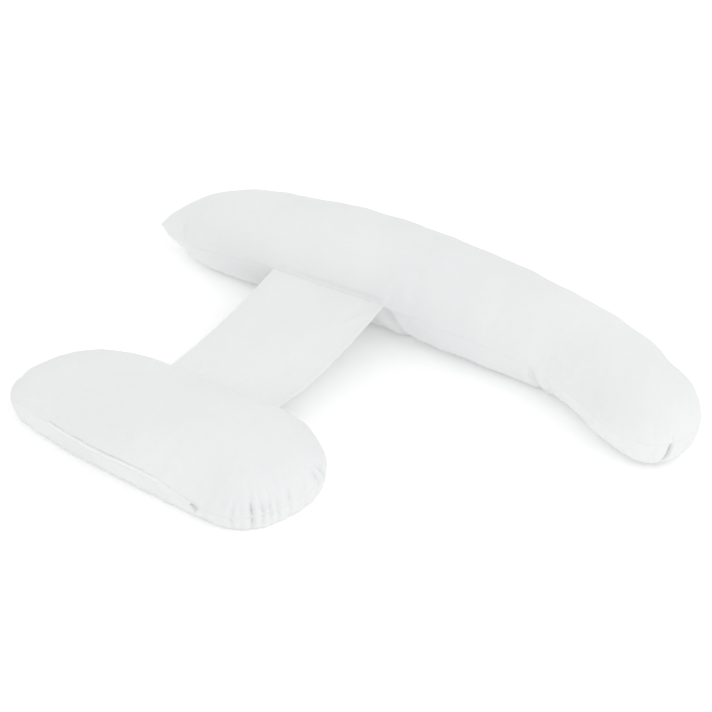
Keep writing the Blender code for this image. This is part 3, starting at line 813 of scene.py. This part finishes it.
def filledPiece(name, node, settings, outline, simOutline, extraRelief):
    # A sewn cover over its filling. Each grid point of the smooth form moves by the simulated folds and
    # the gathers' sideways draw, and along its normal by the lumps less the gathers and the groove. It
    # returns the seam's points.
    above, below = (np.linspace(0, 1, filling[key] + 1) ** filling["crowding"] * halfTurn / 2
                    for key in ("rowsAbove", "rowsBelow"))
    seamRow = filling["rowsBelow"]
    points = sewnPanels(outline, above, below, settings["slack"], filling["pinch"])
    shift = placeOf(node, points)
    points = points + shift
    rim = outline["rim"] + shift
    outline = {**outline, "rim": rim, "spine": outline["spine"] + shift[:2]}
    welded, faces = gridFaces(points, True)
    normals = normalsOf(averaged(welded, points), welded[faces])[welded].reshape(points.shape)
    reach = fromSeam(points, seamRow)
    moved = np.zeros_like(points)
    keep = (1 - smoothStep(np.abs(reach), *filling["foldsReach"])) * endFading(points, settings)
    moved += foldsOn(name, settings, outline, simOutline, below, above, shift) * keep[..., None]
    inward, aside = gathered(points, rim, reach, settings)
    inward += filling["groove"] * np.exp(-np.abs(reach) / filling["grooveWidth"])
    outward = extraRelief(rim, reach)
    for height, sizes, waves in filling["unevenness"]:
        outward = outward + unevenness(points, height, sizes, waves)
    points = points + moved + aside + normals * (outward - inward)[..., None]
    points[..., 2] = laidOnFloor(points[..., 2], filling["floorTurn"])
    places = averaged(welded, points)
    piece = newPiece(name, meshOf(name, places, welded[faces], cutPlaces(points, outline, seamRow)),
                     pillowCotton)
    # painted shade: the colour darkens towards the seam within about a millimetre, where its crease is shaded
    seamShade = np.exp(-np.abs(reach) / filling["seamShadeWidth"]) * filling["seamShade"]
    layer = piece.data.attributes.new("seamShade", "FLOAT", "POINT")
    layer.data.foreach_set("value", averaged(welded, seamShade[..., None]).astype(np.float32).ravel())
    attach(piece, "root")
    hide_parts(node)
    print("stage:", name, "made,", len(piece.data.polygons), "faces")
    return places[welded].reshape(points.shape)[:, seamRow]


def beltPull(rim, reach):
    # the belt's weight pulls the cloth above its seam into a soft crease, deeper to the right
    along = between(rim[:, 0], bolster["pullRise"], bolster["pullFall"]) * (rim[:, 1] < bolster["pullSide"])
    return -bolster["pull"] * along[:, None] * bell(reach - bolster["pullPlace"], bolster["pullWidth"])


bolsterSeam = filledPiece("bolsterCover", "bolster", bolster, bolsterOutline(bolster, "grid"),
                          bolsterOutline(bolster, "simGrid"), beltPull)


def zipLips(rim, reach):
    # the cloth turned back on both sides of the zip, in bell curves across the seam
    start, end = shortCushion["zip"]
    along = between(rim[:, 0], (start - 0.012, start + 0.004), (end - 0.004, end + 0.012))
    along = (along * (rim[:, 1] < shortCushion["zipSide"]))[:, None]
    far = np.abs(reach)
    lip = shortCushion["lip"] * bell(far - shortCushion["lipPlace"], shortCushion["lipWidth"])
    sunk = shortCushion["sunk"] * bell(far - shortCushion["sunkPlace"], shortCushion["sunkWidth"])
    return along * (lip - sunk)


cushionSeam = filledPiece("cushionCover", "short_cushion", shortCushion, cushionOutline(shortCushion, 3),
                          cushionOutline(shortCushion, 4), zipLips)


# The belt

belt = {
    # share of the way from the bolster's seam to the cushion's, x of the two hems in the frame, sag
    "rows": ((0.00, -0.313, -0.045, 0.000), (0.15, -0.316, -0.048, 0.006), (0.40, -0.322, -0.053, 0.013),
             (0.70, -0.328, -0.059, 0.011), (1.00, -0.333, -0.074, 0.000)),
    "stepsAlong": 150, "stepsAcross": 96, "edgeSteps": 7,
    "thickness": 0.0018, "hemWidth": 0.012, "hemThickness": 0.0028, "stepWidth": 0.0012,
    "cutSize": (0.27, 0.37),           # m across and along, without what is turned in
    # soft creases: middle across and along as shares, its length along and across in m, width, height
    "creases": (
        (0.93, 0.10, 0.050, -0.040, 0.009, 0.0030), (0.84, 0.12, 0.060, -0.020, 0.011, -0.0024),
        (0.70, 0.09, 0.040, 0.006, 0.012, 0.0014), (0.50, 0.07, 0.030, 0.000, 0.010, -0.0012),
        (0.30, 0.08, 0.035, 0.004, 0.010, 0.0012), (0.10, 0.12, 0.050, 0.025, 0.010, -0.0016),
        (0.22, 0.90, 0.035, 0.006, 0.008, 0.0026), (0.27, 0.93, 0.028, 0.004, 0.006, -0.0020),
        (0.36, 0.92, 0.030, 0.000, 0.008, 0.0014), (0.55, 0.94, 0.026, -0.004, 0.009, -0.0012),
        (0.72, 0.92, 0.034, -0.006, 0.010, 0.0014), (0.86, 0.90, 0.040, -0.012, 0.010, -0.0024),
        (0.18, 0.50, 0.120, 0.030, 0.022, 0.0016), (0.78, 0.52, 0.130, -0.030, 0.024, -0.0018),
        (0.48, 0.55, 0.150, 0.010, 0.030, 0.0014),
    ),
    "tuck": 0.0012,                    # how far each end goes into the seam that holds it
    "firstStep": 0.0003,               # the cloth reaches its full thickness this far from each end
    "hemWave": 0.0007, "hemWaveLength": 0.034, "hemWaveReach": 0.010,
    "stitchDepth": 0.0006, "stitchWidth": 0.0012,    # of the line that the stitches press in
    "stitchInset": 0.0105, "stitchPitch": 0.0032, "stitchLength": 0.0026, "threadRadius": 0.00032,
    "threadRise": 0.0001,              # of a stitch's middle above the plain cloth
}


def beltMiddle(settings, across, along):
    # The middle surface: rows run from the bolster's seam to the cushion's, straight in plan, and sag
    # under the straight line by a smooth curve; soft creases are added as Gaussian ridges and troughs.
    share, left, right, sag = np.array(settings["rows"]).T
    line = smoothCurve(np.column_stack([share, np.zeros_like(share), left, right, sag]), along)
    x = line[:, 2][:, None] * (1 - across) + line[:, 3][:, None] * across
    near = bolsterSeam[(bolsterSeam[:, 1] < 0.30) & (np.abs(bolsterSeam[:, 0]) < 0.45)]
    far = cushionSeam[(cushionSeam[:, 1] > -0.20) & (cushionSeam[:, 0] < 0.05)]
    ends = []
    for seam in (near[np.argsort(near[:, 0])], far[np.argsort(far[:, 0])]):
        ends.append([np.interp(x, seam[:, 0], seam[:, k]) for k in (1, 2)])
    (startY, startZ), (endY, endZ) = ends
    t = along[:, None]
    y = startY + settings["tuck"] + (endY - startY - 2 * settings["tuck"]) * t
    z = startZ + (endZ - startZ) * t - line[:, 4][:, None]
    width, length = settings["cutSize"]
    u, v = (across[None, :] - 0.5) * width, t * length
    held = np.sin(halfTurn * t) ** 0.5
    for midU, midV, longV, longU, wide, high in settings["creases"]:
        du, dv = u - (midU - 0.5) * width, v - midV * length
        size = math.hypot(longU, longV)
        onward = (du * longU + dv * longV) / size
        aside = (du * longV - dv * longU) / size
        z = z + high * bell(onward, size) * bell(aside, wide) * held
    edge = np.exp(-np.minimum(u + width / 2, width / 2 - u) / settings["hemWaveReach"])
    wave = np.sin(2 * halfTurn * v / settings["hemWaveLength"] + np.sign(u) * 1.3) + 0.6 * np.sin(
        2 * halfTurn * v / (settings["hemWaveLength"] * 2.3) + 0.8)
    z = z + settings["hemWave"] * wave * edge * np.sin(halfTurn * t)
    return np.dstack([x, y, z])


def beltSheet(settings):
    # The cloth's two sides, half its thickness from the middle surface. The thickness steps up at the
    # stitched edge of each turned hem, and closes round the outer edge as sqrt(1 - (1 - e / r)^2),
    # where e is the distance from the edge and r half the hem's thickness.
    width = settings["cutSize"][0]
    rounding = settings["hemThickness"] / 2
    turned = rounding * (1 - np.cos(np.linspace(0, halfTurn / 2, settings["edgeSteps"] + 1)))
    inner = np.linspace(rounding, width - rounding, settings["stepsAcross"] + 1)
    step = settings["hemWidth"] + settings["stepWidth"] * np.array([-1, -0.5, 0, 0.5, 1])
    e = np.unique(np.round(np.concatenate([turned, inner, width - turned, step, width - step]), 6))
    edge = np.minimum(e, width - e)
    hem = 1 - smoothStep(edge, settings["hemWidth"] - settings["stepWidth"],
                         settings["hemWidth"] + settings["stepWidth"])
    thick = settings["thickness"] + (settings["hemThickness"] - settings["thickness"]) * hem
    stitched = settings["stitchDepth"] * bell(edge - settings["stitchInset"], settings["stitchWidth"])
    half = (thick / 2 - stitched) * np.sqrt(np.clip(1 - np.clip(1 - edge / rounding, 0, 1) ** 2, 0, 1))
    shortStep = settings["firstStep"] / settings["cutSize"][1]
    along = np.concatenate([[0], np.linspace(shortStep, 1 - shortStep, settings["stepsAlong"] - 1), [1]])
    middle = beltMiddle(settings, e / width, along)
    normal = unit(np.cross(np.gradient(middle, axis=1), np.gradient(middle, axis=0)))
    normal *= np.sign(normal[..., 2:])
    closing = np.ones(len(along))
    closing[0] = closing[-1] = 0.0
    lift = normal * (half[None, :] * closing[:, None])[..., None]
    top, bottom = middle + lift, middle - lift
    points = np.concatenate([top, bottom[:, -2:0:-1]], axis=1)
    cut = np.dstack([np.broadcast_to(e, (len(along), len(e))),
                     np.broadcast_to((along * settings["cutSize"][1])[:, None], (len(along), len(e)))])
    cut = np.concatenate([cut, cut[:, -2:0:-1] + (0.0, 1.0)], axis=1)
    return points, cut, middle, normal, e


def stitchRow(path, normals, settings):
    # lockstitches along a path: small beads of thread, half sunk into the cloth
    run = runAlong(path)
    at = np.arange(settings["stitchPitch"], run[-1] - settings["stitchPitch"], settings["stitchPitch"])
    origins = np.column_stack([np.interp(at, run, path[:, k]) for k in range(3)])
    up = unit(np.column_stack([np.interp(at, run, normals[:, k]) for k in range(3)]))
    onward = unit(np.column_stack([np.interp(at, run, np.gradient(path[:, k], run)) for k in range(3)]))
    side = np.cross(up, onward)
    radius = settings["threadRadius"]
    shape = bead((settings["stitchLength"] / 2, radius, radius), 6, 6)
    return repeated(shape, origins, np.stack([onward, side, up], axis=1))


def beltPiece(settings):
    # the cloth, with a row of stitches along each hem on both of its sides
    points, cut, middle, normal, e = beltSheet(settings)
    welded, faces = gridFaces(points, False, True)
    places, faces = outwardFaces(averaged(welded, points), welded, faces)
    piece = newPiece("beltCloth", meshOf("beltCloth", places, welded[faces], cut.reshape(-1, 2)[faces]),
                     beltCotton)
    rows = []
    width = settings["cutSize"][0]
    for inset in (settings["stitchInset"], width - settings["stitchInset"]):
        column = int(np.argmin(np.abs(e - inset)))
        for side in (1.0, -1.0):
            lift = side * (settings["thickness"] / 2 + settings["threadRise"])
            path = middle[:, column] + normal[:, column] * lift
            rows.append(stitchRow(path, side * normal[:, column], settings))
    stitches = newPiece("beltStitches", meshOf("beltStitches", *joined(*rows)), sewingThread)
    for part in (piece, stitches):
        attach(part, "root")
    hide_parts("belt")
    print("stage: belt made,", len(piece.data.polygons), "faces,", len(stitches.data.polygons), "of thread")


beltPiece(belt)


# The zip

zipper = {
    "pitch": 0.0015,                   # m between the coil's loops on one side
    "loop": (0.00072, 0.00075, 0.00150),    # half sizes along, out of and across the zip
    "loopReach": 0.00115,              # how far each side's loops lie from the middle line
    "standOut": 0.0018,                # of the coil's middle, from the seam
    "slant": 0.22,                     # how far a loop leans along the zip, for its length
    "tapeHalf": 0.0042, "tapeThickness": 0.0005,
    "tapeDrop": 0.0018,                # the tape's edges curve down under the turned cloth
    "tapeSunk": 0.0003,                # how far the tape lies behind the coil's middle
}


def zipPath(settings):
    # the seam between the zip's two ends, with the directions along, out of and up across it
    start, end = shortCushion["zip"]
    near = cushionSeam[cushionSeam[:, 1] < shortCushion["zipSide"]]
    near = near[np.argsort(near[:, 0])]
    near = near[(near[:, 0] > start) & (near[:, 0] < end)]
    run = runAlong(near)
    at = np.arange(0.0, run[-1], settings["pitch"] / 2)
    path = np.column_stack([np.interp(at, run, near[:, k]) for k in range(3)])
    for _ in range(8):
        path[1:-1] = 0.5 * path[1:-1] + 0.25 * (path[2:] + path[:-2])
    onward = unit(np.gradient(path, axis=0))
    out = unit(np.column_stack([onward[:, 1], -onward[:, 0], np.zeros(len(path))]))
    return path, onward, out, np.cross(out, onward)


def coilPiece(settings):
    # two rows of slanted loops that mesh at the middle line, on two strips of tape
    path, onward, out, up = zipPath(settings)
    side = np.where(np.arange(len(path)) % 2 == 0, 1.0, -1.0)[:, None]
    origins = path + out * settings["standOut"] + up * side * settings["loopReach"]
    slant = unit(up * side + onward * settings["slant"])
    frames = np.stack([np.cross(out, slant), out, slant], axis=1)
    frames[:, 0] *= np.sign((frames[:, 0] * onward).sum(axis=1))[:, None]
    frames[:, 2] = np.cross(frames[:, 0], frames[:, 1])
    loops = repeated(bead(settings["loop"], 8, 6), origins, frames)
    half, thick, edge = settings["tapeHalf"], settings["tapeThickness"], settings["tapeDrop"]
    section = np.array([(-half, -edge), (-half * 0.72, -edge * 0.2), (-half * 0.5, 0.0),
                        (half * 0.5, 0.0), (half * 0.72, -edge * 0.2), (half, -edge),
                        (half, -thick - edge), (half * 0.5, -thick), (-half * 0.5, -thick),
                        (-half, -thick - edge)])
    sunk = settings["standOut"] - settings["tapeSunk"]
    tape = (path[:, None, :] + up[:, None, :] * section[None, :, :1]
            + out[:, None, :] * (section[None, :, 1:] + sunk))
    tape[0], tape[-1] = tape[0].mean(axis=0), tape[-1].mean(axis=0)
    welded, faces = gridFaces(tape, False, True)
    places, faces = outwardFaces(averaged(welded, tape), welded, faces)
    length = np.arange(len(path))[:, None] * settings["pitch"] / 2
    cut = np.dstack(np.broadcast_arrays(section[None, :, 0], length)).reshape(-1, 2)
    coil = newPiece("zipCoil", meshOf("zipCoil", *loops), zipCoil)
    tapes = newPiece("zipTape", meshOf("zipTape", places, welded[faces], cut[faces]), zipTape)
    for part in (coil, tapes):
        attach(part, "root")
    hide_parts("zip")
    print("stage: zip made,", len(coil.data.polygons) + len(tapes.data.polygons), "faces")
    return path, onward, out, up


slider = {
    "fromEnd": 0.003,                  # m from the zip's right-hand end to the middle of the slider
    "back": 0.0035, "standOut": 0.0019,
    "plate": {"length": 0.0105, "wide": 0.0086, "narrow": 0.0058, "thick": 0.0013},
    "plateGap": 0.0026,
    "archHalf": 0.0030, "archHeight": 0.0021, "archRise": 0.0004,
    "archSection": (0.0006, 0.0012),   # half sizes of the bridge's bar
    "pull": {"length": 0.0170, "width": 0.0058, "thick": 0.0013, "hole": 0.0013},
    "pullLean": 40.0,                  # degrees from the zip's line
    "pullTurn": 0.12, "pullPlace": (0.0018, 0.0020, 0.0),
}


def bent(value, power):
    # a circle's cosine or sine made squarer: its sign times its size to a power under 1
    return np.sign(value) * np.abs(value) ** power


def plate(length, wide, narrow, thick, around=32, rings=10):
    # a flat rounded plate, wide at one end and narrow at the other: a superellipse outline
    # (cos a ** 0.6, sin a ** 0.6), its thickness closing with the power 0.45
    a = np.linspace(0, 2 * halfTurn, around, endpoint=False)[:, None]
    b = np.linspace(-halfTurn / 2, halfTurn / 2, rings + 1)[None, :]
    across = bent(np.cos(b), 0.45)
    x = length / 2 * bent(np.cos(a), 0.6) * across
    width = (wide + narrow) / 4 + (wide - narrow) / 4 * x / (length / 2)
    z = width * bent(np.sin(a), 0.6) * across
    y = thick / 2 * bent(np.sin(b), 0.45) + 0 * a
    places = np.stack([x, y, z], axis=-1)
    places[:, 0], places[:, -1] = (0.0, -thick / 2, 0.0), (0.0, thick / 2, 0.0)
    return solidOf(places, True)


def pullTab(length, width, thick, hole, around=48, section=16):
    # A flat tab with a round hole near its top. At the angle a round the hole's middle the tab's edge
    # is where that ray leaves a stadium, and the section between edge and hole has rounded corners.
    a = np.linspace(0, 2 * halfTurn, around, endpoint=False)
    c, s, r = np.cos(a), np.sin(a), width / 2
    straight = np.where(np.abs(s) > 1e-9, r / np.maximum(np.abs(s), 1e-9), 1e9)
    far = length - 2 * r
    reachEnd = far * c + np.sqrt(np.maximum(r * r - (far * s) ** 2, 0.0))
    edge = np.where(c < 0, r, np.where(straight * np.abs(c) < far, straight, np.maximum(reachEnd, r)))
    turn = np.linspace(0, 2 * halfTurn, section, endpoint=False)
    middle, half = (edge + hole) / 2, (edge - hole) / 2
    radius = middle[:, None] + half[:, None] * bent(np.cos(turn), 0.5)[None, :]
    y = thick / 2 * bent(np.sin(turn), 0.5)[None, :] + 0 * radius
    return solidOf(np.stack([radius * c[:, None], y, radius * s[:, None]], axis=-1), True, True)


def bridgeBar(settings):
    # a bar bent in a half ellipse over the body, its section an ellipse too
    angles = np.linspace(0, halfTurn, 15)
    arch = np.column_stack([settings["archHalf"] * np.cos(angles),
                            settings["archHeight"] * np.sin(angles) + settings["archRise"], 0 * angles])
    aim = unit(np.gradient(arch, axis=0))
    sideways = np.column_stack([-aim[:, 1], aim[:, 0], 0 * angles])
    turn = np.linspace(0, 2 * halfTurn, 10, endpoint=False)[None, :, None]
    high, wide = settings["archSection"]
    bar = (arch[:, None, :] + high * np.cos(turn) * sideways[:, None, :]
           + wide * np.sin(turn) * np.array([0.0, 0.0, 1.0]))
    bar[0], bar[-1] = arch[0], arch[-1]
    return solidOf(bar, False, True)


def sliderPiece(path, onward, out, up):
    # a cast body of two plates over the coil with a bridge, and a flat pull that hangs from it
    end = len(path) - 1 - int(slider["fromEnd"] / (zipper["pitch"] / 2))
    frameRows = np.array([onward[end], out[end], up[end]])
    origin = path[end] - onward[end] * slider["back"] + out[end] * slider["standOut"]
    body = plate(**slider["plate"])
    under = (body[0] - (0.0, slider["plateGap"], 0.0), body[1])
    lean = math.radians(slider["pullLean"])
    turned = np.array([(math.cos(lean), slider["pullTurn"], -math.sin(lean)), (0.0, 1.0, 0.0),
                       (math.sin(lean), 0.0, math.cos(lean))])
    pull = pullTab(**slider["pull"])
    pull = (pull[0] @ turned + slider["pullPlace"], pull[1])
    places, faces = joined(body, under, bridgeBar(slider), pull)
    places = origin + places @ frameRows
    if np.linalg.det(frameRows) < 0:
        faces = faces[:, ::-1]
    piece = newPiece("zipSlider", meshOf("zipSlider", places, faces), sliderEnamel)
    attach(piece, "root")
    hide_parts("zip_slider")
    print("stage: slider made,", len(piece.data.polygons), "faces")


sliderPiece(*coilPiece(zipper))
